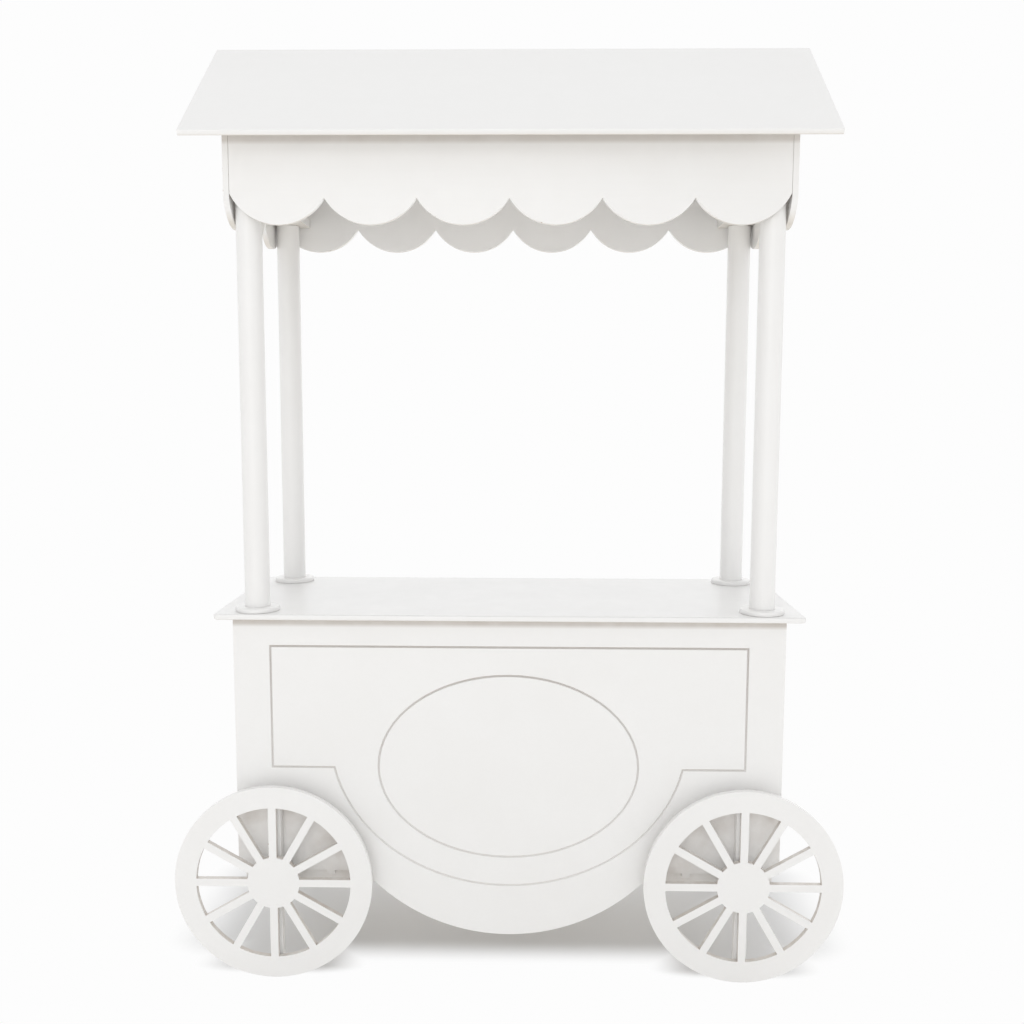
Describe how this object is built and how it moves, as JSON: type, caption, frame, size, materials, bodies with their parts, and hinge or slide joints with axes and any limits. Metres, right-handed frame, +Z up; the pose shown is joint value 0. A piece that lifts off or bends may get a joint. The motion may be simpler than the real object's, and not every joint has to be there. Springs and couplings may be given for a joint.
{
  "type": "candy buffet cart",
  "caption": "White painted board display cart with a round-bellied cabinet, spoked front wheels, a counter on which round posts stand, scalloped valances and a gable roof.",
  "frame": {"origin": "on the floor, under the middle of the cart", "axes": "+Z up, +X to the right along the counter as the picture's viewer sees it, and -Y out of the front, where the wheels are"},
  "size_m": [1.394, 0.5806, 1.9605],
  "materials": {
    "white_board": "satin white paint on 12 mm board and turned posts",
    "inner_board": "matt white paint on battens and inner boards",
    "zinc_steel": "zinc plated",
    "nylon": "moulded"
  },
  "bodies": {
    "cart": {"front_panel": "white_board", "side_panel_left": "white_board", "side_panel_right": "white_board", "base_board": "inner_board", "shelf": "inner_board", "shelf_cleat_left": "inner_board", "shelf_cleat_right": "inner_board", "rear_apron": "white_board", "rail_front": "inner_board", "rail_rear": "inner_board", "rail_left": "inner_board", "rail_right": "inner_board", "corner_batten_front_left": "inner_board", "corner_batten_front_right": "inner_board", "corner_batten_rear_left": "inner_board", "corner_batten_rear_right": "inner_board", "counter_cleat_front": "inner_board", "counter_cleat_rear": "inner_board", "counter_top": "white_board", "leg_front_left": "white_board", "leg_front_right": "white_board", "leg_rear_left": "white_board", "leg_rear_right": "white_board", "post_front_left": "white_board", "post_front_right": "white_board", "post_rear_left": "white_board", "post_rear_right": "white_board", "base_flange_front_left": "white_board", "base_flange_front_right": "white_board", "base_flange_rear_left": "white_board", "base_flange_rear_right": "white_board", "top_rail_left": "inner_board", "top_rail_right": "inner_board", "valance_rail_front": "inner_board", "valance_rail_rear": "inner_board", "canopy_block_front_left": "inner_board", "canopy_block_front_right": "inner_board", "canopy_block_rear_left": "inner_board", "canopy_block_rear_right": "inner_board", "valance_front": "white_board", "valance_rear": "white_board", "gable_left": "white_board", "gable_right": "white_board", "roof_slope_front": "white_board", "roof_slope_rear": "white_board", "ridge_batten": "inner_board", "rafter_front_left": "inner_board", "rafter_front_right": "inner_board", "rafter_rear_left": "inner_board", "rafter_rear_right": "inner_board", "axle_bush_left": "nylon", "axle_bush_right": "nylon"},
    "left_wheel": {"wheel_left": "white_board", "wheel_spindle_left": "zinc_steel", "axle_collar_left": "zinc_steel"},
    "right_wheel": {"wheel_right": "white_board", "wheel_spindle_right": "zinc_steel", "axle_collar_right": "zinc_steel"}
  },
  "joints": [
    {"name": "left_wheel_spin", "type": "hinge", "parent": "cart", "child": "left_wheel", "pos_m": [-0.49, -0.2482, 0.209], "axis": [0, 1, 0], "continuous": true},
    {"name": "right_wheel_spin", "type": "hinge", "parent": "cart", "child": "right_wheel", "pos_m": [0.49, -0.2482, 0.209], "axis": [0, 1, 0], "continuous": true}
  ]
}
